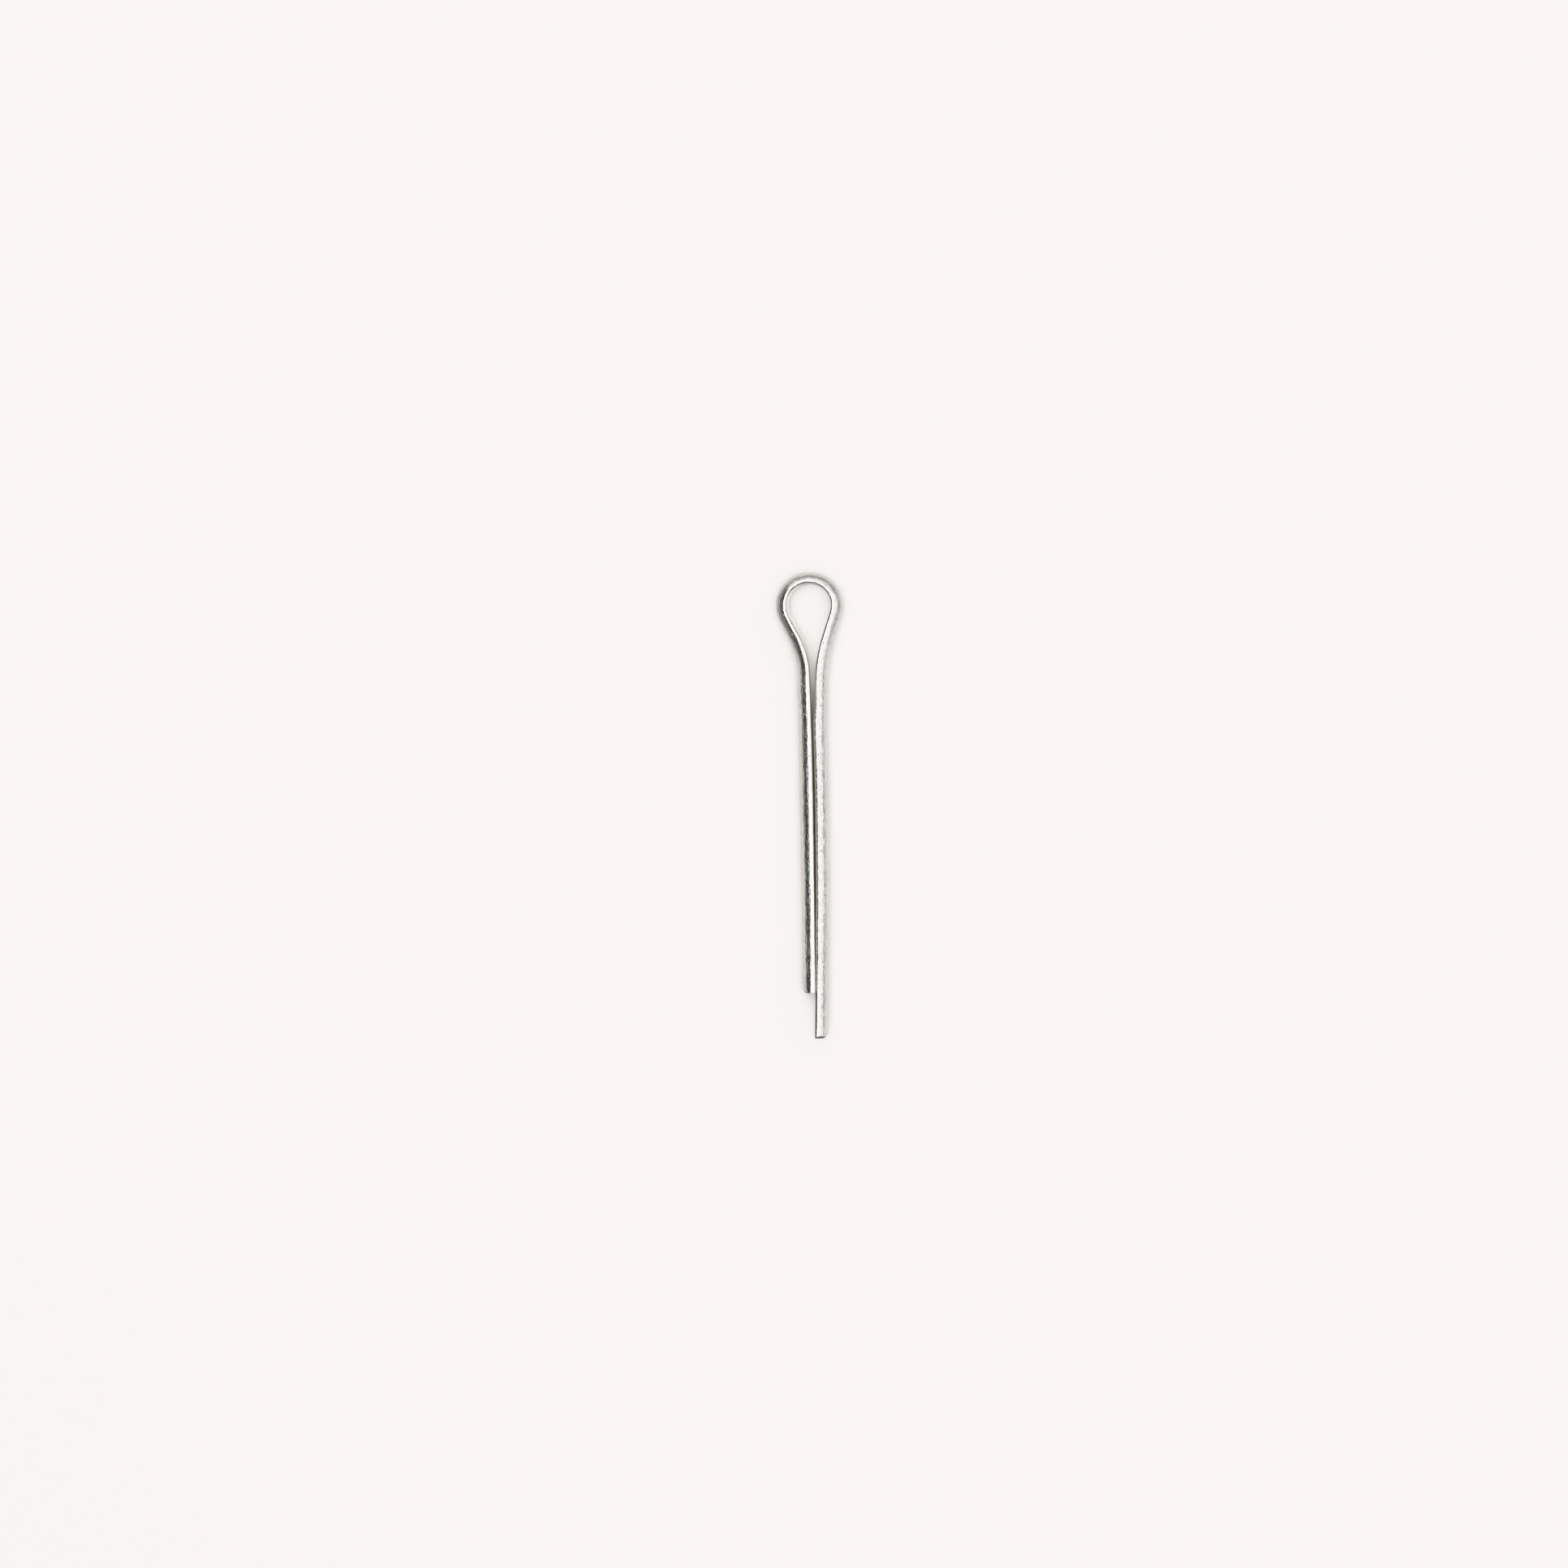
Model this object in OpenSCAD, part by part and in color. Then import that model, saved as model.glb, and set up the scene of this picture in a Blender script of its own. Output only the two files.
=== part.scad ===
// Cotter pin with an extended prong, square cut.
// One length of half-round wire is bent round an eye, so that its two legs lie
// flat to flat and make a split round shank.  The pin lies on its side: the shank
// runs along Y with the eye at +Y, the long leg is at +X, and the wire rests on z = 0.

/* [Shank] */
// Radius of the split round shank, over the round sides of both legs
shank_r = 1.61; // [1.2:0.01:2.5]
// Gap between the flats of the two legs
leg_gap = 0.22; // [0.05:0.01:0.6]

/* [Wire] */
// Radius of the drawn corners between the flat and the round side
corner_r = 0.3; // [0.1:0.01:0.45]
// How much thinner the wire is drawn where it bends, on every side
bend_draw = 0.01; // [0.005:0.001:0.02]

/* [Eye] */
// Radius of the eye, measured to the flat of the wire
eye_r = 2.57; // [2:0.01:6]
// Sideways offset of the eye's centre from the shank's axis
eye_shift = -0.3; // [-0.6:0.02:0.6]

/* [Long side] */
// Slope of the wire between the eye and the long leg's neck, in degrees from the shank's axis
long_slope = 18; // [10:0.5:23]
// Bend radius of the long leg's neck, measured to the flat
long_neck_r = 18; // [5:0.5:22]

/* [Short side] */
// Slope of the wire between the eye and the short leg's neck, in degrees from the shank's axis
short_slope = 26.5; // [14:0.5:32]
// Bend radius of the short leg's neck, measured to the flat
short_neck_r = 12; // [5:0.5:16]

/* [Spring set] */
// Angle at which both legs leave their necks, in degrees from the shank's axis
spread = 1.8; // [0.8:0.1:3.5]
// Length of the straight wire that runs at the spread angle
lead_l = 3; // [1:0.1:5]
// Radius of the long bend in which the legs settle parallel
settle_r = 180; // [60:5:300]

/* [Legs] */
// Length from the crown of the eye to the end of the long leg
overall_l = 55.7; // [45:0.1:120]
// How far the long leg reaches past the short one
prong_step = 5.4; // [1:0.1:10]
// How far the shear rolls the crown in at the cut ends
roll_depth = 0.3; // [0.1:0.01:0.5]
// Length along the leg over which the crown rolls in
roll_l = 0.8; // [0.3:0.05:1.5]

/* [Hidden] */
$fn = 96;
corner_fn = 32;

// Each leg is a slice of the round shank, from half the gap out to the crown
wire_t = shank_r - leg_gap / 2;

// The corner circles lie inside the round and touch it.
// Both are placed from the flat, which is half the gap off the shank's axis.
corner_x = corner_r + leg_gap / 2;
corner_z = sqrt(pow(shank_r - corner_r, 2) - pow(corner_x, 2));
half_height = corner_z + corner_r;

// Straight wire reaches this far into the thinner wire of each bend beside it
seat_l = 0.1;

// Places along the pin, with y = 0 halfway along it
eye_y = overall_l / 2 - wire_t - eye_r;
long_end_y = -overall_l / 2;
short_end_y = long_end_y + prong_step;

// Section of the wire, flat along the Y axis and round side towards +X.
// The section of a bend has draw taken off it all round.
module wire_section(draw = 0) {
    translate([-leg_gap / 2, 0])
        intersection() {
            circle(r = shank_r - draw);
            polygon([[corner_x - corner_r / 2, 0],
                     [corner_x, corner_z],
                     2 * [corner_x, corner_z],
                     2 * [shank_r, corner_z],
                     2 * [shank_r, -corner_z],
                     2 * [corner_x, -corner_z],
                     [corner_x, -corner_z]]);
        }
    translate([draw, -corner_z])
        square([corner_r - draw, 2 * corner_z]);
    for (side = [-1, 1])
        translate([corner_r, side * corner_z])
            circle(r = corner_r - draw, $fn = corner_fn);
}

// Straight wire from y = 0 towards -Y, with its flat on x = 0
module straight(length) {
    rotate([90, 0, 0])
        linear_extrude(height = length)
            wire_section();
}

// Wire bent round the Z axis from one polar angle to another, with its flat at radius r.
// The round side faces away from the axis, or towards it where inward is true.
module bend(r, from, to, inward = false) {
    rotate_extrude(angle = to - from, start = from)
        translate([r, 0])
            mirror([inward ? 1 : 0, 0])
                wire_section(bend_draw);
}

// Straight wire that starts at a point and runs down the leg at a slope from the shank's axis
module run(point, slope, length) {
    translate(point)
        rotate([0, 0, -slope])
            translate([0, seat_l])
                straight(length + 2 * seat_l);
}

// Sheared end: what lies outside the roll-over, whose arc leaves the crown at roll_l
// and meets the cut at roll_depth inside the crown
module roll_cut() {
    roll_r = (pow(roll_depth, 2) + pow(roll_l, 2)) / (2 * roll_depth);
    difference() {
        translate([wire_t - roll_depth, -roll_l, -2 * half_height])
            cube([2 * roll_depth, 2 * roll_l, 4 * half_height]);
        translate([wire_t - roll_r, roll_l])
            cylinder(r = roll_r, h = 6 * half_height, center = true);
    }
}

// Everything between the eye and the end of one leg, on the +X side
module leg(shift, slope, neck_r, end_y) {
    drop = [-sin(slope), -cos(slope)];
    out = [cos(slope), -sin(slope)];
    spread_drop = [-sin(spread), -cos(spread)];
    spread_out = [cos(spread), -sin(spread)];

    // Sideways travel that is left for the sloping run once all the bends have theirs
    slope_l = (shift + eye_r * out[0] + neck_r * (out[0] - spread_out[0])
               + lead_l * spread_drop[0] - settle_r * (1 - spread_out[0])
               - leg_gap / 2) / -drop[0];
    slope_start = [shift, eye_y] + eye_r * out;
    neck_centre = slope_start + slope_l * drop + neck_r * out;
    lead_start = neck_centre - neck_r * spread_out;
    settle_centre = lead_start + lead_l * spread_drop + settle_r * spread_out;
    leg_start = [leg_gap / 2, settle_centre[1]];

    run(slope_start, slope, slope_l);
    translate(neck_centre)
        bend(neck_r, 180 - slope, 180 - spread, inward = true);
    run(lead_start, spread, lead_l);
    translate(settle_centre)
        bend(settle_r, 180 - spread, 180, inward = true);
    difference() {
        translate(leg_start + [0, seat_l])
            straight(leg_start[1] - end_y + seat_l);
        translate([leg_start[0], end_y])
            roll_cut();
    }
}

module eye() {
    translate([eye_shift, eye_y])
        bend(eye_r, -long_slope, 180 + short_slope);
}

module cotter_pin() {
    color("silver")
        translate([0, 0, half_height]) {
            eye();
            leg(eye_shift, long_slope, long_neck_r, long_end_y);
            mirror([1, 0, 0])
                leg(-eye_shift, short_slope, short_neck_r, short_end_y);
        }
}

cotter_pin();
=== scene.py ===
# %% [markdown]
# # A cotter pin, dressed in its plating
#
# A cotter pin is one length of half-round steel wire, bent double round an eye until its
# two flats lie face to face.  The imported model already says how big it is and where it
# lies.  This lesson gives it what a drawn, bent, tumbled and plated wire has: bends that
# ease in and out, rolled corners, dents on the crown, sheared ends and a bright, slightly
# dull zinc skin.
#
# Everything is in metres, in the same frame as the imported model.  The wire is easier to
# think about in millimetres, so its sizes are written in millimetres and turned to metres
# once, when the mesh is made.

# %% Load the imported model
import math

import bpy
import numpy as np
from mathutils import Matrix, Vector, noise


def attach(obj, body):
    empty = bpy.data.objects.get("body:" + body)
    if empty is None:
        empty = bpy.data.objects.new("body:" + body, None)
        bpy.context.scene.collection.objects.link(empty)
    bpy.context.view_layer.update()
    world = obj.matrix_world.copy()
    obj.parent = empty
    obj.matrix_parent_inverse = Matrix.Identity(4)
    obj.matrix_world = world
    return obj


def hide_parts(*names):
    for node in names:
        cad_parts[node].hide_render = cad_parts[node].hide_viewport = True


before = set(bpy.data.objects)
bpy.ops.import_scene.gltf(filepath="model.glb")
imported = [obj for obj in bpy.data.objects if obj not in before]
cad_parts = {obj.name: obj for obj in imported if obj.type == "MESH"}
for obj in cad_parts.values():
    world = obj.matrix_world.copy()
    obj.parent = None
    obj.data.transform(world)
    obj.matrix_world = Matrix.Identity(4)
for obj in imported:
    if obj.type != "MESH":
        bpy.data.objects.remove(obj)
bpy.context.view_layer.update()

# %% [markdown]
# ## The line that the wire follows
#
# On the bench the wire is fed along its flat, so the flat's middle line is the one to
# draw.  We walk along it like a turtle: a list of steps, each with a length and a turn.
# The short leg comes first, then its neck, the eye, the long leg's neck and the long leg.
#
# A chain of plain arcs would do for a drawing, but real wire can't change its curvature
# at once.  So we smooth the turning before we add it up.  The walk still turns through
# the same angles, and each bend now eases in and out.

# %% Sizes of the bent wire, in millimetres and degrees
MM = 0.001
LEG_GAP = 0.22
WIRE_T = 1.5
SHANK_R = WIRE_T + LEG_GAP / 2
CORNER_R = 0.3
EYE_R, EYE_SHIFT = 2.57, -0.3
OVERALL_L, PRONG_STEP = 55.7, 5.4
SPREAD, LEAD_L, SETTLE_R = 1.8, 3.0, 180.0
SHORT_SLOPE, SHORT_NECK_R = 26.5, 12.0
LONG_SLOPE, LONG_NECK_R = 18.0, 18.0

EYE_Y = OVERALL_L / 2 - WIRE_T - EYE_R
LONG_END_Y = -OVERALL_L / 2
SHORT_END_Y = LONG_END_Y + PRONG_STEP


def side_lengths(shift, slope, neck_r, end_y):
    """Lengths of the sloping run and of the straight leg on one side of the eye."""
    s, c = math.sin(math.radians(slope)), math.cos(math.radians(slope))
    ss, cs = math.sin(math.radians(SPREAD)), math.cos(math.radians(SPREAD))
    across = (shift + EYE_R * c + neck_r * (c - cs) - LEAD_L * ss
              - SETTLE_R * (1 - cs) - LEG_GAP / 2)
    run = across / s
    down = EYE_R * s + run * c + neck_r * (s - ss) + LEAD_L * cs + SETTLE_R * ss
    return run, EYE_Y - down - end_y


short_run, short_leg = side_lengths(-EYE_SHIFT, SHORT_SLOPE, SHORT_NECK_R, SHORT_END_Y)
long_run, long_leg = side_lengths(EYE_SHIFT, LONG_SLOPE, LONG_NECK_R, LONG_END_Y)
print("sloping runs, mm:", round(short_run, 2), round(long_run, 2))
print("straight legs, mm:", round(short_leg, 2), round(long_leg, 2))

# %% Walk along the flat
STEP = 0.01
EASE = 0.3


def arc(radius, turn):
    """One bend as (length, turn); the turn is positive to the left."""
    return radius * abs(math.radians(turn)), turn


steps = [
    (short_leg, 0.0),
    arc(SETTLE_R, SPREAD),
    (LEAD_L, 0.0),
    arc(SHORT_NECK_R, SHORT_SLOPE - SPREAD),
    (short_run, 0.0),
    arc(EYE_R, -(180.0 + SHORT_SLOPE + LONG_SLOPE)),
    (long_run, 0.0),
    arc(LONG_NECK_R, LONG_SLOPE - SPREAD),
    (LEAD_L, 0.0),
    arc(SETTLE_R, SPREAD),
    (long_leg, 0.0),
]
wire_l = sum(length for length, _ in steps)
walk_s = np.arange(0.0, wire_l + STEP / 2, STEP)
curvature = np.zeros(len(walk_s))
reached = 0.0
for length, turn in steps:
    inside = (walk_s >= reached) & (walk_s < reached + length)
    if turn:
        curvature[inside] = math.radians(turn) / (inside.sum() * STEP)
    reached += length

# Each bend is smoothed over EASE, then the walk is added up
reach = np.arange(-4 * EASE, 4 * EASE + STEP / 2, STEP)
kernel = np.exp(-0.5 * (reach / EASE) ** 2)
curvature = np.convolve(curvature, kernel / kernel.sum(), mode="same")
heading = math.pi / 2 + np.cumsum(curvature) * STEP
walk_x = -LEG_GAP / 2 + np.concatenate([[0], np.cumsum(np.cos(heading))[:-1]]) * STEP
walk_y = SHORT_END_Y + np.concatenate([[0], np.cumsum(np.sin(heading))[:-1]]) * STEP

# What the smoothing left open at the far end is shared out over the eye
miss_x, miss_y = LEG_GAP / 2 - walk_x[-1], LONG_END_Y - walk_y[-1]
eye_from = sum(length for length, _ in steps[:4])
eye_to = sum(length for length, _ in steps[:7])
share = np.clip((walk_s - eye_from) / (eye_to - eye_from), 0, 1)
walk_x += miss_x * share
walk_y += miss_y * share
print("wire, mm:", round(wire_l, 2), " closed by, mm:", round(miss_x, 4), round(miss_y, 4))

# %% [markdown]
# ## The section of the wire
#
# Cotter pin wire is drawn half round.  Its flat is really flat, its round side is part of
# a circle, and the two corners between them are rounded by the drawing die.  We lay the
# section out as one closed ring of points, each with the direction that it faces, because
# the dents and the edge of the cut will be pushed in along that direction.
#
# In the section, a runs from the flat out to the crown and b runs up.

# %% One ring of points round the section
CORNER_A = CORNER_R + LEG_GAP / 2
CORNER_B = math.sqrt((SHANK_R - CORNER_R) ** 2 - CORNER_A ** 2)
HALF_HEIGHT = CORNER_B + CORNER_R
FLAT_POINTS, CORNER_POINTS, ROUND_POINTS = 10, 8, 52

corner_turn = math.atan2(CORNER_B, CORNER_A)
flat_b = np.linspace(-CORNER_B, CORNER_B, FLAT_POINTS, endpoint=False)
top_t = np.linspace(math.pi, corner_turn, CORNER_POINTS, endpoint=False)
round_t = np.linspace(corner_turn, -corner_turn, ROUND_POINTS, endpoint=False)
low_t = np.linspace(-corner_turn, -math.pi, CORNER_POINTS, endpoint=False)

ring_a = np.concatenate([
    np.zeros(FLAT_POINTS),
    CORNER_R + CORNER_R * np.cos(top_t),
    -LEG_GAP / 2 + SHANK_R * np.cos(round_t),
    CORNER_R + CORNER_R * np.cos(low_t),
])
ring_b = np.concatenate([
    flat_b,
    CORNER_B + CORNER_R * np.sin(top_t),
    SHANK_R * np.sin(round_t),
    -CORNER_B + CORNER_R * np.sin(low_t),
])
ring_face = np.concatenate([np.full(FLAT_POINTS, math.pi), top_t, round_t, low_t])
RING = len(ring_a)
print("points in the ring:", RING, " wire is", WIRE_T, "by", round(2 * HALF_HEIGHT, 3), "mm")

# %% [markdown]
# ## Where the rings go
#
# The rings stand closer together at the cut ends, where the shear has rounded the edge,
# and round the eye, where the crown travels further than the flat.  Everywhere else one
# ring each tenth of a millimetre is enough to hold the dents.

# %% Places of the rings along the wire
EYE_STEP, LEG_STEP = 0.085, 0.100
END_STEPS = np.array([0, 0.006, 0.016, 0.03, 0.05, 0.075, 0.105, 0.14,
                      0.18, 0.23, 0.29, 0.36, 0.44, 0.53, 0.63, 0.74])

middle = [float(END_STEPS[-1])]
while middle[-1] < wire_l - END_STEPS[-1] - LEG_STEP:
    near_eye = eye_from < middle[-1] < eye_to
    middle.append(middle[-1] + (EYE_STEP if near_eye else LEG_STEP))
ring_s = np.concatenate([END_STEPS[:-1], middle, wire_l - END_STEPS[::-1]])
ring_x = np.interp(ring_s, walk_s, walk_x)
ring_y = np.interp(ring_s, walk_s, walk_y)
ring_h = np.interp(ring_s, walk_s, heading)
print("rings:", len(ring_s), " quads:", RING * (len(ring_s) - 1))

# %% [markdown]
# ## What bending and handling did to it
#
# The die drew the wire to one size, but the pin in hand is a little off it.  The wire is
# stretched thinner round the eye, and below the necks it is up to a sixth of a millimetre
# fuller on its flat side.  On the short leg's side of the eye it has rolled a few degrees,
# so that its flat looks up.  Down the shank both legs have rolled together by about three
# degrees, the way a round pin settles on a table.
#
# The legs aren't ruler straight either: both bow out by a tenth of a millimetre below the
# necks, and lower down the long leg leans in until the legs touch near the short leg's
# end.  Each of these is one smooth function of the length along the wire.

# %% Two shapes of change along the wire
def ease(x, start, end):
    """0 before start, 1 after end, smooth in between."""
    t = np.clip((x - start) / (end - start), 0, 1)
    return t * t * (3 - 2 * t)


def fall(x, start, end):
    """1 before start, 0 after end, smooth in between."""
    return ease(-x, -end, -start)


def swell(x, centre, width):
    """A smooth hump of height 1."""
    return np.exp(-0.5 * ((x - centre) / width) ** 2)


eye_top = 0.5 * (eye_from + eye_to)
on_long_side = ring_s > eye_top
in_eye = ease(ring_s, eye_from - 2, eye_from + 1) * fall(ring_s, eye_to - 1, eye_to + 2)
in_shank = fall(ring_y, 3, 11)
below_necks = fall(ring_y, 9, 13)
print("rings in the eye:", int((in_eye > 0.5).sum()), " in the shank:", int((in_shank > 0.5).sum()))

# %% How thick the wire is at each ring
THIN_EYE, THIN_TOP, TOP_WIDTH = 0.05, 0.075, 1.6
LONG_FULL, SHORT_FULL = 0.16, 0.10
LONG_FULL_AT_END = 0.35
SHORT_FULL_LOST = 0.5

thickness = WIRE_T - THIN_EYE * in_eye - THIN_TOP * swell(ring_s, eye_top, TOP_WIDTH)
short_low = fall(ring_y, -13, -5) * ease(ring_y, -22, -18.5)
long_full = below_necks * (LONG_FULL_AT_END + (1 - LONG_FULL_AT_END) * ease(ring_y, -22.5, -14))
short_full = fall(ring_y, 12.5, 17) * (1 - SHORT_FULL_LOST * short_low)
full_flat = np.where(on_long_side, LONG_FULL * long_full, SHORT_FULL * short_full)
print("thinnest, mm:", round(thickness.min(), 3),
      " fullest:", round((thickness + full_flat).max(), 3))

# %% How far it has rolled and bowed
EYE_ROLL, EYE_ROLL_PAST, EYE_ROLL_WIDTH = math.radians(8.0), 2.2, 3.1
SHORT_ROLL, LONG_ROLL = -math.radians(2.8), math.radians(3.0)
LONG_BOW, SHORT_BOW, SHORT_SET = 0.10, 0.06, 0.08
SHORT_SET_LOST = 0.7
LEAN_FROM, LEAN_SLOPE, LEAN_SOFT = -10.2, 0.0215, 1.5

leg_roll = np.where(on_long_side, LONG_ROLL, SHORT_ROLL)
roll = EYE_ROLL * swell(ring_s, eye_from + EYE_ROLL_PAST, EYE_ROLL_WIDTH) + leg_roll * in_shank
lean = LEAN_SLOPE * LEAN_SOFT * np.logaddexp(0, (LEAN_FROM - ring_y) / LEAN_SOFT)
long_bow = LONG_BOW * fall(ring_y, 0, 13) - lean
short_bow = SHORT_BOW * ease(ring_y, -7, 9) + SHORT_SET * (1 - SHORT_SET_LOST * short_low)
short_bow = short_bow * fall(ring_y, 13, 17)
bow = np.where(on_long_side, long_bow, short_bow)
print("most roll, degrees:", round(math.degrees(roll.max()), 1))
print("bow, mm: long leg", round(long_bow.max(), 3), "to", round(long_bow.min(), 3),
      " short leg", round(short_bow.max(), 3))

# %% [markdown]
# ## Dents on the crown
#
# Feed rollers grip the crown on the way to the bending pins, and after that the pins
# tumble together by the thousand in the plating barrel.  The rollers leave shallow dents,
# longer than they are wide, and the tumbling adds small nicks.  Both are on the round
# side.  The flats face each other and stay smooth, and so does the top of the eye, where
# the bend stretched the skin tight.
#
# Bump in a material would fake the glints but leave the outline ruler straight.  The
# dents here are real, pushed into the mesh by smooth noise.  The noise is read at a
# point's place in the section and along the wire, so it has no seam.

# %% Push the dents in
DENT_DEPTH, NICK_DEPTH = 0.008, 0.012
DENT_SIZE = (0.50, 0.38, 0.95)
NICK_SIZE = (0.19, 0.16, 0.28)

DENT_SPREAD = 1.7
LEAST_WORKED = 0.12

on_crown = fall(np.abs(ring_face), math.radians(48), math.radians(74))
worked = np.maximum(fall(ring_s, eye_top - 5.5, eye_top - 1.2),
                    ease(ring_s, eye_top + 1.8, eye_top + 5.0))
worked = LEAST_WORKED + (1 - LEAST_WORKED) * worked


def noise_field(size, offset):
    """Smooth noise, about -1 to 1, at every point of every ring.

    size is the grain in mm across, up and along the wire, and offset picks another patch.
    """
    field = np.empty((len(ring_s), RING))
    for i, s in enumerate(ring_s):
        for j in range(RING):
            place = (ring_a[j] / size[0] + offset, ring_b[j] / size[1], s / size[2])
            field[i, j] = noise.noise(place)
    return field


dents = DENT_DEPTH * (1 + DENT_SPREAD * noise_field(DENT_SIZE, 3.7))
nicks = NICK_DEPTH * (1 + DENT_SPREAD * noise_field(NICK_SIZE, 21.3))
pushed = np.clip(dents, 0, None) + np.clip(nicks, 0, None)
pushed *= worked[:, None] * on_crown[None, :]
print("deepest dent, mm:", round(pushed.max(), 3), " mean:", round(pushed.mean(), 3))

# %% [markdown]
# ## Sheared ends
#
# The blades don't saw the wire, they shear it.  The steel is dragged over before it
# parts, so the crown rolls in towards the cut and the edge under the upper blade comes
# out rounded, while the far edge stays nearly sharp.  The long leg was dragged more than
# the short one: its crown rolls in deeper and its upper edge is rounder.  We pull each
# ring in by an amount that depends on how near the cut it is.

# %% The section at each ring, before the cuts
CORNER_WEAR, WEAR_AT, WEAR_WIDTH = 0.01, math.radians(135), math.radians(28)

section_a = ring_a[None, :] * (thickness / WIRE_T)[:, None] - pushed * np.cos(ring_face)
section_a = section_a - full_flat[:, None] * (1 - ring_a[None, :] / WIRE_T)
corner_wear = CORNER_WEAR * swell(ring_face, WEAR_AT, WEAR_WIDTH)
corner_wear = below_necks[:, None] * corner_wear[None, :]
section_a = section_a - corner_wear * np.cos(ring_face)
section_b = ring_b[None, :] - (pushed + corner_wear) * np.sin(ring_face)
print("section, mm: a", round(section_a.min(), 3), "to", round(section_a.max(), 3),
      " b", round(section_b.min(), 3), "to", round(section_b.max(), 3))

# %% Roll the crown and round the edges at both cuts
# Each end: how far the crown rolls in and over what length, upper and lower edge radius
SHORT_CUT = (0.30, 0.95, 0.07, 0.04)
LONG_CUT = (0.50, 0.90, 0.36, 0.05)
ROLL_SOFT = 0.03


def shape_cut(a, b, from_cut, cut):
    """Pull in the rings near one cut. from_cut is each ring's distance from it."""
    roll_depth, roll_l, upper_r, lower_r = cut
    roll_r = (roll_depth ** 2 + roll_l ** 2) / (2 * roll_depth)
    left = np.clip(roll_l - from_cut, 0, None)
    rolled = roll_r - np.sqrt(roll_r ** 2 - left ** 2)
    crown = WIRE_T - rolled[:, None]
    over = np.where(left[:, None] > 0, a - crown, -1.0)
    a = a - ROLL_SOFT * np.logaddexp(0, over / ROLL_SOFT)
    upper = ease(np.sin(ring_face), 0.35, 0.95)[None, :]
    edge_r = lower_r + (upper_r - lower_r) * upper
    near = np.clip(1 - from_cut[:, None] / edge_r, 0, 1)
    inset = edge_r * (1 - np.sqrt(1 - near ** 2))
    return a - inset * np.cos(ring_face), b - inset * np.sin(ring_face)


section_a, section_b = shape_cut(section_a, section_b, ring_s, SHORT_CUT)
section_a, section_b = shape_cut(section_a, section_b, wire_l - ring_s, LONG_CUT)
print("crown at the short cut, mm:", round(section_a[0].max(), 3),
      " at the long cut:", round(section_a[-1].max(), 3))

# %% [markdown]
# ## From rings to a mesh
#
# A curve with a bevel object could sweep the section, but it can't change it on the way.
# So we place every point ourselves.  Each ring stands square to the wire's direction, and
# its points are joined to those of the next ring.  A ring that has rolled is let down
# again until its lowest point is on the paper.  The cuts are closed by smaller and smaller
# copies of the last ring, with a little roughness where the steel tore.
#
# Every point also keeps its place in the wire (a, b and the length along it).  The
# material reads it, so that its draw lines run with the wire.

# %% Place the points of the rings
# In the eye the wire rolls about its own middle, and in the shank about the shank's axis
ROLL_MIDDLE = 0.7
roll_axis = ROLL_MIDDLE - (ROLL_MIDDLE + LEG_GAP / 2) * in_shank[:, None]

cos_h, sin_h = np.cos(ring_h)[:, None], np.sin(ring_h)[:, None]
cos_r, sin_r = np.cos(roll)[:, None], np.sin(roll)[:, None]
turned_a = roll_axis + (section_a - roll_axis) * cos_r + section_b * sin_r
turned_b = section_b * cos_r - (section_a - roll_axis) * sin_r
lowest = (ring_b * cos_r - (ring_a - roll_axis) * sin_r).min(axis=1, keepdims=True)
out = turned_a + bow[:, None]
body = np.stack([
    ring_x[:, None] - sin_h * out,
    ring_y[:, None] + cos_h * out,
    turned_b - lowest,
], axis=-1)
place = np.stack([section_a, section_b, np.repeat(ring_s[:, None], RING, axis=1)], axis=-1)
print("rings stand, mm: z", round(body[..., 2].min(), 3), "to", round(body[..., 2].max(), 3))

# %% Close the cuts
CAP_RINGS = 6
TORN_DEPTH, TORN_FINENESS = 0.018, 4.0


def cap(i, along):
    """Rings that close the cut at ring i; along points into the steel."""
    edge, middle_point = body[i], body[i].mean(axis=0)
    middle_place = place[i].mean(axis=0)
    spots, places = [], []
    for k in range(1, CAP_RINGS + 1):
        shrink = 1 - k / CAP_RINGS
        for j in range(RING if shrink else 1):
            p = middle_point + (edge[j] - middle_point) * shrink
            rough = 0.5 + 0.5 * noise.noise(tuple(p * TORN_FINENESS))
            spots.append(p + TORN_DEPTH * rough * min(1, 2 * k / CAP_RINGS) * along)
            places.append(middle_place + (place[i, j] - middle_place) * shrink)
    return np.array(spots), np.array(places)


into_short = np.array([math.cos(ring_h[0]), math.sin(ring_h[0]), 0])
into_long = -np.array([math.cos(ring_h[-1]), math.sin(ring_h[-1]), 0])
short_cap, short_place = cap(0, into_short)
long_cap, long_place = cap(-1, into_long)
points = np.concatenate([body.reshape(-1, 3), short_cap, long_cap])
places = np.concatenate([place.reshape(-1, 3), short_place, long_place])
print("points:", len(points), " of which on the cuts:", len(short_cap) + len(long_cap))

# %% Join them into faces
rings_n = len(ring_s)
faces = []
for i in range(rings_n - 1):
    for j in range(RING):
        k = (j + 1) % RING
        faces.append((i * RING + j, (i + 1) * RING + j, (i + 1) * RING + k, i * RING + k))


def cap_faces(edge_start, cap_start, flip):
    """Quads between the cap's rings and triangles round its middle."""
    made = []
    outer = edge_start
    for k in range(CAP_RINGS):
        inner = cap_start + k * RING
        for j in range(RING):
            j2 = (j + 1) % RING
            if k < CAP_RINGS - 1:
                face = (outer + j, outer + j2, inner + j2, inner + j)
            else:
                face = (outer + j, outer + j2, inner)
            made.append(face[::-1] if flip else face)
        outer = inner
    return made


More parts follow.
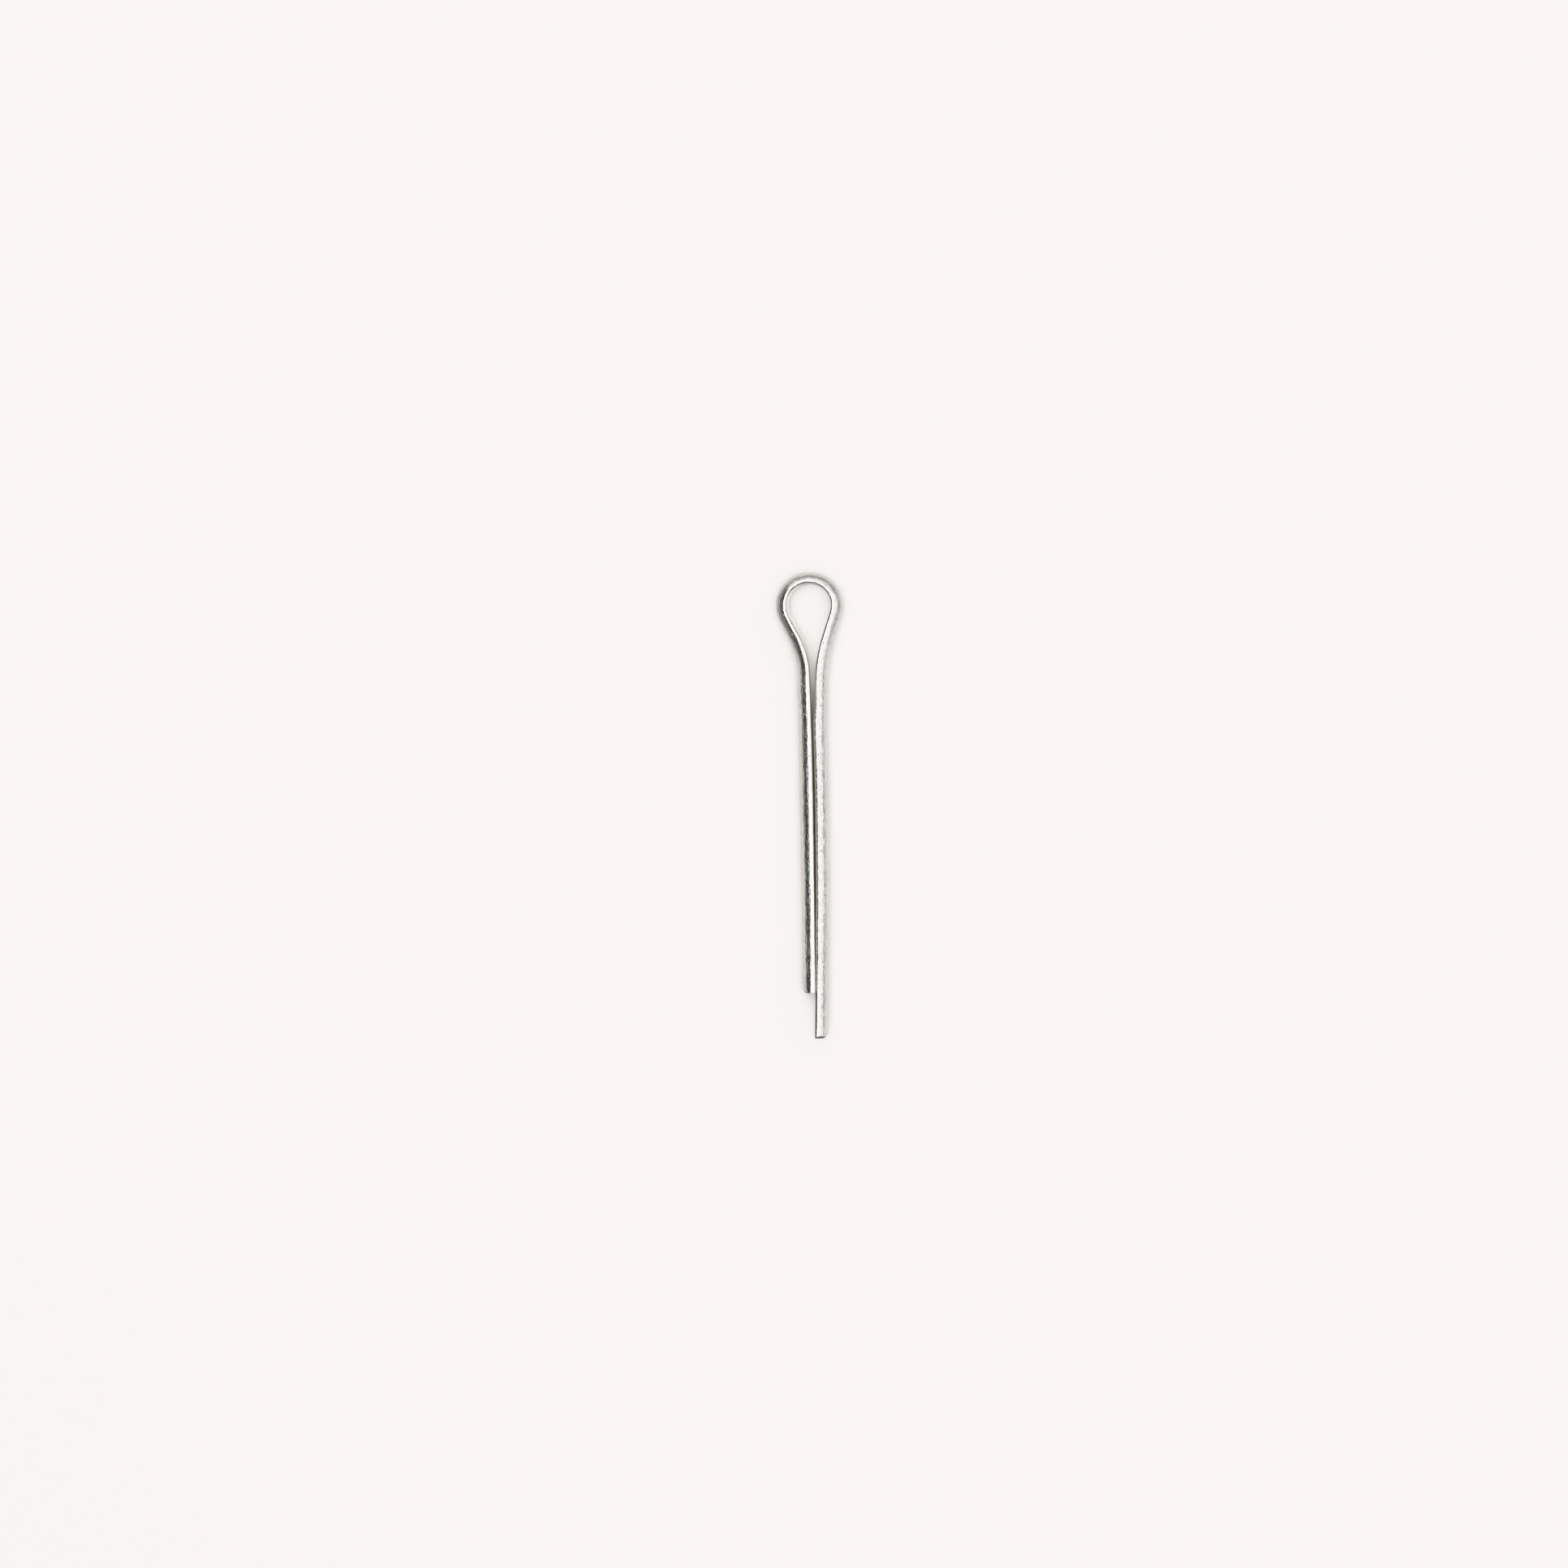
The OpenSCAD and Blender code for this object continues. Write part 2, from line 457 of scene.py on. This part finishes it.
body_n = rings_n * RING
faces += cap_faces(0, body_n, False)
faces += cap_faces(body_n - RING, body_n + len(short_cap), True)

mesh = bpy.data.meshes.new("plated_pin")
mesh.from_pydata((points * MM).tolist(), [], faces)
mesh.update()
mesh.shade_smooth()
wire_place = mesh.attributes.new("wire_place", "FLOAT_VECTOR", "POINT")
wire_place.data.foreach_set("vector", places.astype(np.float32).ravel())
print("faces:", len(mesh.polygons))

# %% [markdown]
# ## Where the colour differs: the skin, and painted shade
#
# Plain bright zinc covers most of the crown.  Elsewhere the colour is a little different,
# and the mesh keeps a share from 0 to 1 at every point to say how much.  Most shares are
# painted shade, where the wire lies in shade or mirrors it:
#
# - cut_steel_and_edge_shade: torn steel on both cuts, and painted shade on the rounded edge of the
#   long one
# - unrubbed: the flats, which never rolled on another pin, have a pale satin skin
# - flank_shade: both flanks of the eye are painted darker grey, painted shade for the shaded paper
#   that they mirror
# - inner_edge_shade: the flat-side edge of the long side is painted grey from the top of the eye
#   down, painted shade where it faces the gap and the inside of the eye
# - gap_shade: painted brown shade on the edges of the legs where they face each other
# - scuffed: the long leg's upper corner is rough, where other pins hit it
# - speckled_corner_shade: the scuffed corner is painted dark beside the crown, painted shade from
#   the gap broken up by specks
# - prong_edge_shade: the prong's upper flat edge, where the short leg no longer covers it, is
#   painted dark, painted shade
#
# Each share fades in and out over a few tenths of a millimetre.  A hard edge would look
# like paint.

# %% Store a share, and the parts of the section that the shares use
def keep_share(name, on_body, on_caps=0.0):
    """Store a share at every point: one value for each body point, one for both cuts."""
    share = np.full(len(points), on_caps)
    share[:body_n] = on_body.ravel()
    kept = mesh.attributes.new(name, "FLOAT", "POINT")
    kept.data.foreach_set("value", share.astype(np.float32))
    print(name, "- most:", round(share.max(), 2), " mean:", round(share.mean(), 3))


# Across the section; a is 0 on the flat and b is 0 at mid-height
on_flat = fall(ring_a, 0.01, 0.07)
near_flat = fall(ring_a, 0.05, 0.16)
upper_edge = fall(ring_a, 0.05, 0.17) * ease(ring_b, -0.9, -0.4)
lower_flat = on_flat * fall(ring_b, 0.2, 0.9)
upper_corner = fall(ring_a, 0.25, 0.34) * (ring_b > 0)
upper_side = ease(ring_b, 0.3, 0.9)
flank = swell(np.abs(ring_face), math.radians(46), math.radians(11))
on_long = on_long_side[:, None]

# %% Torn steel, painted shade on the long cut's edge, and unrubbed flats
# The long cut's rounded upper edge is painted as dark as the torn steel: painted shade
long_edge_shade = ease(ring_face, 0.2, 1.1) * ease(ring_a, 0.05, 0.30)
at_long_cut = ease(ring_s, wire_l - 0.34, wire_l - 0.16)
keep_share("cut_steel_and_edge_shade", at_long_cut[:, None] * long_edge_shade[None, :], on_caps=1.0)
keep_share("unrubbed", np.repeat(on_flat[None, :], rings_n, axis=0))

# %% Painted shade on the flanks of the eye
SHORT_SIDE, LONG_SIDE = (0.8, 3.4), (3.6, 2.2)
LONG_SIDE_SHARE = 0.35
# Painted shade: the flanks of the eye are darkened where they mirror the shaded paper beside it
flank_shade = swell(ring_s, eye_from + SHORT_SIDE[0], SHORT_SIDE[1])
flank_shade = flank_shade + LONG_SIDE_SHARE * swell(ring_s, eye_top + LONG_SIDE[0], LONG_SIDE[1])
keep_share("flank_shade", flank_shade[:, None] * flank[None, :])

# %% Painted shade between the legs
# Painted shade: brown darkening on the legs' edges where they shade each other across the gap
facing_short = ease(ring_y, SHORT_END_Y, SHORT_END_Y + 2.0)
long_gap_shade = lower_flat * (fall(ring_y, 11, 15) * facing_short)[:, None]
short_gap_shade = upper_edge * (fall(ring_y, 10, 15) * ease(ring_y, -21.5, -17))[:, None]
keep_share("gap_shade", np.where(on_long, long_gap_shade, short_gap_shade))

# %% The long leg's scuffed corner, and the painted shade on the edge that runs into it
FLECK_SIZE, STREAK_SIZE = (0.17, 0.17, 0.22), (0.09, 0.09, 0.5)
flecks = 2.2 * noise_field(FLECK_SIZE, 40.1) + 1.6 * noise_field(STREAK_SIZE, 7.9)
flecks = 0.1 + np.clip(flecks, -0.35, 0.6)
scuffed = upper_corner * (fall(ring_y, 14, 18) * ease(ring_y, -22, -18))[:, None] * on_long
speckled = ease(ring_a, 0.07, 0.16) * fall(ring_y, 11, 14)[:, None] * (1 - flecks)
keep_share("scuffed", scuffed)
# Painted shade on the scuffed corner beside the gap, broken up by specks
keep_share("speckled_corner_shade", np.clip(scuffed * speckled, 0, 1))

# Painted shade: the flat-side edge of the long side is darkened where it faces the gap and the
# inside of the eye
INNER_SHADE_LOW_IN_EYE, INNER_SHADE_UNDER_SCUFF = 0.6, 0.40
inner_shade_low = INNER_SHADE_LOW_IN_EYE * fall(ring_s, eye_to - 0.5, eye_to + 2.5)[:, None]
inner_shade_height = inner_shade_low + (1 - inner_shade_low) * upper_side
inner_edge_shade = near_flat * inner_shade_height * ease(ring_s, eye_from + 5.0, eye_from + 7.5)[:, None]
keep_share("inner_edge_shade", inner_edge_shade * (1 - INNER_SHADE_UNDER_SCUFF * scuffed))

# %% Painted shade on the prong
PRONG_SHADE_LOW = 0.25
on_prong = fall(ring_y, SHORT_END_Y - 0.2, SHORT_END_Y + 0.6)[:, None]
off_cut = ease(wire_l - ring_s, 0.2, 0.6)[:, None]
# Painted shade along the prong's flat edge, darkest at its top
prong_edge_shade = near_flat * (PRONG_SHADE_LOW + (1 - PRONG_SHADE_LOW) * ease(ring_b, -0.3, 0.9)) * on_prong * on_long
keep_share("prong_edge_shade", prong_edge_shade * (1 - ease(ring_a, 0.0, 0.05) * (1 - off_cut)))

# %% The pin itself
pin = bpy.data.objects.new("plated_pin", mesh)
bpy.context.scene.collection.objects.link(pin)
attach(pin, "root")
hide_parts("cotter_pin")
print("dressed piece:", pin.name)

# %% [markdown]
# ## Bright zinc plating
# Apart from the unrubbed flats and the torn cut faces, the shares' colours are painted shade.
#
# Zinc from a barrel is bright but never a mirror.  It copies the draw lines of the die,
# it is a little dull where parts rubbed, and it has fine dark pits.  The metal itself is
# one shader with full metallic.  What changes from place to place is a shade of colour,
# the roughness, and a bump fine enough that no mesh could carry it.  The kept shares are
# laid over the plain zinc one after the other, each with its own colour.
#
# Noise stretched along the wire makes the draw lines.  It reads the place that each point
# kept, so the lines turn with the wire round the eye, where flat noise would cut across.

# %% Small helpers for nodes
def new_material(name):
    """A material with its nodes, links and main shader."""
    material = bpy.data.materials.new(name)
    material.use_nodes = True
    nodes, links = material.node_tree.nodes, material.node_tree.links
    return material, nodes, links, nodes["Principled BSDF"]


def stretched_noise(nodes, links, source, scale, detail, roughness=0.5):
    """Noise read at source times scale. Returns its height output."""
    stretch = nodes.new("ShaderNodeMapping")
    stretch.inputs["Scale"].default_value = scale
    texture = nodes.new("ShaderNodeTexNoise")
    texture.inputs["Scale"].default_value = 1.0
    texture.inputs["Detail"].default_value = detail
    texture.inputs["Roughness"].default_value = roughness
    links.new(source, stretch.inputs["Vector"])
    links.new(stretch.outputs["Vector"], texture.inputs["Vector"])
    return texture.outputs["Fac"]


def ramp(nodes, links, source, stops):
    """A colour ramp over source; stops are (place, colour)."""
    node = nodes.new("ShaderNodeValToRGB")
    while len(node.color_ramp.elements) < len(stops):
        node.color_ramp.elements.new(0.5)
    for element, (at, colour) in zip(node.color_ramp.elements, stops):
        element.position = at
        element.color = (*colour, 1.0)
    links.new(source, node.inputs["Fac"])
    return node.outputs["Color"]


def spread_to(nodes, links, source, low, high, out_low, out_high):
    """source from low..high to out_low..out_high, held at the ends."""
    node = nodes.new("ShaderNodeMapRange")
    for socket, value in (("From Min", low), ("From Max", high),
                          ("To Min", out_low), ("To Max", out_high)):
        node.inputs[socket].default_value = value
    links.new(source, node.inputs["Value"])
    return node.outputs["Result"]


def bump(nodes, links, height, distance, before=None):
    """Raise the surface by height times distance, on top of the bump before it."""
    node = nodes.new("ShaderNodeBump")
    node.inputs["Strength"].default_value = 1.0
    node.inputs["Distance"].default_value = distance
    links.new(height, node.inputs["Height"])
    if before is not None:
        links.new(before, node.inputs["Normal"])
    return node.outputs["Normal"]


# %% What the finish reads
plating, nodes, links, metal = new_material("plated_wire")
metal.inputs["Metallic"].default_value = 1.0

where = nodes.new("ShaderNodeAttribute")
where.attribute_name = "wire_place"
wire_at = where.outputs["Vector"]


def kept_share(name):
    """A share that the mesh keeps at every point."""
    node = nodes.new("ShaderNodeAttribute")
    node.attribute_name = name
    return node.outputs["Fac"]


# Scales are grains per millimetre across, up and along the wire
draw_lines = stretched_noise(nodes, links, wire_at, (7.0, 7.0, 0.22), 3.0, 0.6)
rub = stretched_noise(nodes, links, wire_at, (2.6, 2.6, 1.0), 3.0, 0.6)
streak = stretched_noise(nodes, links, wire_at, (6.5, 6.5, 2.0), 4.0, 0.65)
grain = stretched_noise(nodes, links, wire_at, (9.0, 9.0, 5.0), 2.0)

PIT_SCALE = (1.15, 1.15, 0.8)
PIT_INNER, PIT_OUTER = 0.05, 0.11
pit_cells = nodes.new("ShaderNodeTexVoronoi")
pit_cells.inputs["Scale"].default_value = 1.0
pit_stretch = nodes.new("ShaderNodeMapping")
pit_stretch.inputs["Scale"].default_value = PIT_SCALE
links.new(wire_at, pit_stretch.inputs["Vector"])
links.new(pit_stretch.outputs["Vector"], pit_cells.inputs["Vector"])
pits = spread_to(nodes, links, pit_cells.outputs["Distance"], PIT_INNER, PIT_OUTER, 1.0, 0.0)
print("nodes so far:", len(nodes))

# %% Its colour
BRIGHT, DULL = (0.60, 0.597, 0.575), (0.44, 0.438, 0.42)
PIT = (0.27, 0.25, 0.22)
# Each share's own colour, laid on in this order; all but unrubbed and the torn cut faces are
# painted shade
LAID_ON = [
    ("flank_shade", (0.17, 0.165, 0.15)),
    ("unrubbed", (0.86, 0.865, 0.835)),
    ("inner_edge_shade", (0.36, 0.34, 0.335)),
    ("gap_shade", (0.34, 0.25, 0.13)),
    ("speckled_corner_shade", (0.11, 0.10, 0.10)),
    ("prong_edge_shade", (0.13, 0.11, 0.10)),
    ("cut_steel_and_edge_shade", (0.19, 0.155, 0.14)),
]


def blend(share, below, above):
    """The colour below where share is 0, and the colour above where it is 1."""
    node = nodes.new("ShaderNodeMix")
    node.data_type = "RGBA"
    links.new(share, node.inputs["Factor"])
    links.new(below, node.inputs["A"])
    node.inputs["B"].default_value = (*above, 1.0)
    return node.outputs["Result"]


colour = ramp(nodes, links, streak, [(0.36, DULL), (0.58, BRIGHT)])
colour = blend(pits, colour, PIT)
for name, shade in LAID_ON:
    colour = blend(kept_share(name), colour, shade)
links.new(colour, metal.inputs["Base Color"])
print("colours laid on:", len(LAID_ON))

# %% Its roughness and bump
SMOOTH, SCUFFED = 0.12, 0.24
ROUGHER = [("unrubbed", 0.50), ("scuffed", 0.70), ("cut_steel_and_edge_shade", 0.45)]
roughness = spread_to(nodes, links, rub, 0.36, 0.62, SCUFFED, SMOOTH)
for name, value in ROUGHER:
    rougher = nodes.new("ShaderNodeMix")
    links.new(kept_share(name), rougher.inputs["Factor"])
    links.new(roughness, rougher.inputs["A"])
    rougher.inputs["B"].default_value = value
    roughness = rougher.outputs["Result"]
links.new(roughness, metal.inputs["Roughness"])

LINE_HEIGHT, GRAIN_HEIGHT, PIT_DEPTH = 0.022 * MM, 0.022 * MM, 0.04 * MM
normal = bump(nodes, links, draw_lines, LINE_HEIGHT)
normal = bump(nodes, links, grain, GRAIN_HEIGHT, normal)
pit_height = spread_to(nodes, links, pits, 0.0, 1.0, 1.0, 0.0)
normal = bump(nodes, links, pit_height, PIT_DEPTH, normal)
links.new(normal, metal.inputs["Normal"])
mesh.materials.append(plating)
print("nodes in the plating:", len(nodes))

# %% [markdown]
# ## The paper it lies on
#
# The pin lies on a large sheet of smooth white paper, slightly warm.  It is far larger
# than the pin, because bright metal mirrors it: the lower half of the wire is mostly a
# picture of the paper.  Paper scatters light, so it has no shine, and only the faintest
# tooth.

# %% Floor
FLOOR_SIZE = 6.0
floor_mesh = bpy.data.meshes.new("paper")
h = FLOOR_SIZE / 2
floor_mesh.from_pydata([(-h, -h, 0), (h, -h, 0), (h, h, 0), (-h, h, 0)], [], [(0, 1, 2, 3)])
floor = bpy.data.objects.new("paper", floor_mesh)
bpy.context.scene.collection.objects.link(floor)

paper, nodes, links, sheet = new_material("paper")
sheet.inputs["Roughness"].default_value = 0.9
sheet.inputs["Specular IOR Level"].default_value = 0.2
spot = nodes.new("ShaderNodeTexCoord").outputs["Object"]
FIBRE_SCALE = (420.0, 420.0, 420.0)
DARKER, PALER = (0.765, 0.738, 0.725), (0.785, 0.758, 0.745)
fibre = stretched_noise(nodes, links, spot, FIBRE_SCALE, 4.0, 0.6)
tone = ramp(nodes, links, fibre, [(0.3, DARKER), (0.7, PALER)])
links.new(tone, sheet.inputs["Base Color"])
floor_mesh.materials.append(paper)
print("paper, m across:", FLOOR_SIZE)

# %% [markdown]
# ## Soft light
#
# Polished wire shows its surroundings, so the shape of the light is half of the picture.
# A large soft box hangs over the pin, a little to the left and towards the cut ends.  It
# has a fainter rim and a brighter spot, as a lamp behind cloth has.  On the left it ends
# halfway down the sky, and the dark room beyond it makes the black line down the short
# leg.  To the right two white cards carry the light on almost down to the paper, so that
# side stays bright.  The dark strip that is left between the lower card and the paper
# draws one thin line along the long leg.  A third card stands beyond the eye and
# brightens the top of its bend.
#
# The cards are short along the pin: the wire mirrors them all the same, but they add
# little to the light on the paper, so the shadows on the two sides are much alike.
#
# Each lamp is aimed at the pin and sized by the angle that it fills as seen from there.
# Its power follows from the radiance that we want the wire to mirror.

# %% Soft box and cards
def aim_light(name, shape, lean_x, lean_y, distance, half_x, half_y, radiance, tint):
    """A soft light that fills half_x by half_y degrees each way, seen from the pin."""
    towards = Vector((math.tan(math.radians(lean_x)), math.tan(math.radians(lean_y)), 1))
    towards.normalize()
    data = bpy.data.lights.new(name, "AREA")
    data.shape = shape
    data.size = 2 * distance * math.tan(math.radians(half_x))
    data.size_y = 2 * distance * math.tan(math.radians(half_y))
    area = data.size * data.size_y * (math.pi / 4 if shape == "ELLIPSE" else 1)
    data.energy = radiance * math.pi * area
    data.color = tint
    lamp = bpy.data.objects.new(name, data)
    side = Vector((0, 1, 0)).cross(towards).normalized()
    turn = Matrix((side, towards.cross(side), towards)).transposed().to_4x4()
    lamp.matrix_world = Matrix.Translation(towards * distance) @ turn
    lamp.visible_camera = False
    bpy.context.scene.collection.objects.link(lamp)
    print(name, "m across:", round(data.size, 2), " power:", round(data.energy, 1))


# Name, shape, lean off the vertical in x and y, distance, half angles in x and y, radiance, tint
WHITE, COOL = (1, 1, 1), (0.98, 0.99, 1.0)
LIGHTS = [
    ("soft_box", "ELLIPSE", -6.5, -9.0, 0.55, 34.5, 44.0, 1.95, WHITE),
    ("box_edge", "ELLIPSE", -6.5, -9.0, 0.56, 38.0, 47.0, 0.45, WHITE),
    ("lamp_glow", "ELLIPSE", -21.0, 0.0, 0.50, 12.0, 12.0, 2.9, WHITE),
    ("right_card", "RECTANGLE", 42.2, 4.0, 0.60, 13.9, 26.0, 1.95, WHITE),
    ("low_card", "RECTANGLE", 67.8, 4.0, 0.60, 8.4, 26.0, 2.22, COOL),
    ("far_card", "RECTANGLE", 4.0, 54.0, 0.60, 46.0, 18.0, 1.45, WHITE),
]
for light in LIGHTS:
    aim_light(*light)

# %% The dark room, and the pale wall that only the camera sees
DARK_ROOM, PALE_WALL = (0.069, 0.063, 0.058), (1.25, 1.25, 1.25)
world = bpy.data.worlds.new("room")
world.use_nodes = True
bpy.context.scene.world = world
nodes, links = world.node_tree.nodes, world.node_tree.links
dark_room = nodes["Background"]
dark_room.inputs["Color"].default_value = (*DARK_ROOM, 1.0)
pale_wall = nodes.new("ShaderNodeBackground")
pale_wall.inputs["Color"].default_value = (*PALE_WALL, 1.0)
seen_by = nodes.new("ShaderNodeLightPath")
either = nodes.new("ShaderNodeMixShader")
links.new(seen_by.outputs["Is Camera Ray"], either.inputs[0])
links.new(dark_room.outputs[0], either.inputs[1])
links.new(pale_wall.outputs[0], either.inputs[2])
links.new(either.outputs[0], nodes["World Output"].inputs["Surface"])
print("lights:", len(LIGHTS), " room radiance:", DARK_ROOM)

# %% [markdown]
# ## How the camera takes it
#
# The paper is lit brighter than the camera can hold, as in most pictures for a parts
# list.  That is why the shadow round the pin is so tight: only its darkest millimetre
# falls below white.  A tone curve does the same here.  It leaves everything below the
# paper's white as it is, and bends the rest over into the last few shades.

# %% Tone curve
CURVE_TOP = 4.0
SHOULDER = {
    "red": [(0.78, 0.78), (0.90, 0.872), (1.00, 0.925), (1.25, 0.955), (1.60, 0.968)],
    "green": [(0.78, 0.78), (0.90, 0.865), (1.00, 0.900), (1.25, 0.921), (1.60, 0.965)],
    "blue": [(0.78, 0.78), (0.90, 0.862), (1.00, 0.895), (1.25, 0.913), (1.60, 0.960)],
}
view = bpy.context.scene.view_settings
view.view_transform = "Standard"
view.use_curve_mapping = True
response = view.curve_mapping
response.white_level = (CURVE_TOP,) * 3
for curve, bends in zip(response.curves, SHOULDER.values()):
    for scene_value, shown in bends:
        curve.points.new(scene_value / CURVE_TOP, shown)
    for point in curve.points:
        point.handle_type = "VECTOR"
response.update()
print("tone curve points:", [len(c.points) for c in response.curves])

# %% [markdown]
# ## Camera
#
# The camera hangs over the paper on a long lens and looks almost straight down.  It leans
# a little to the right, so that it sees a sliver of the short leg's flat inside the eye
# and none of the long leg's.  The pin lies slightly askew in the frame and right of the
# middle.

# %% Camera
FRAME_W = 187.0 * MM
CAMERA_DISTANCE = 0.60
TILT, LEAN = math.radians(1.0), math.radians(0.65)
FRAME_CENTRE = Vector((-3.57, 2.5, HALF_HEIGHT)) * MM

camera_data = bpy.data.cameras.new("camera")
camera_data.sensor_width = 36.0
camera_data.lens = camera_data.sensor_width * CAMERA_DISTANCE / FRAME_W
camera = bpy.data.objects.new("camera", camera_data)
right = Vector((math.cos(TILT), 0, -math.sin(TILT)))
up = Vector((0, 1, 0))
back = right.cross(up)
axes = Matrix((right, up, back)).transposed() @ Matrix.Rotation(-LEAN, 3, "Z")
camera.matrix_world = Matrix.Translation(FRAME_CENTRE + back * CAMERA_DISTANCE) @ axes.to_4x4()
bpy.context.scene.collection.objects.link(camera)
bpy.context.scene.camera = camera
print("lens, mm:", round(camera_data.lens, 1))
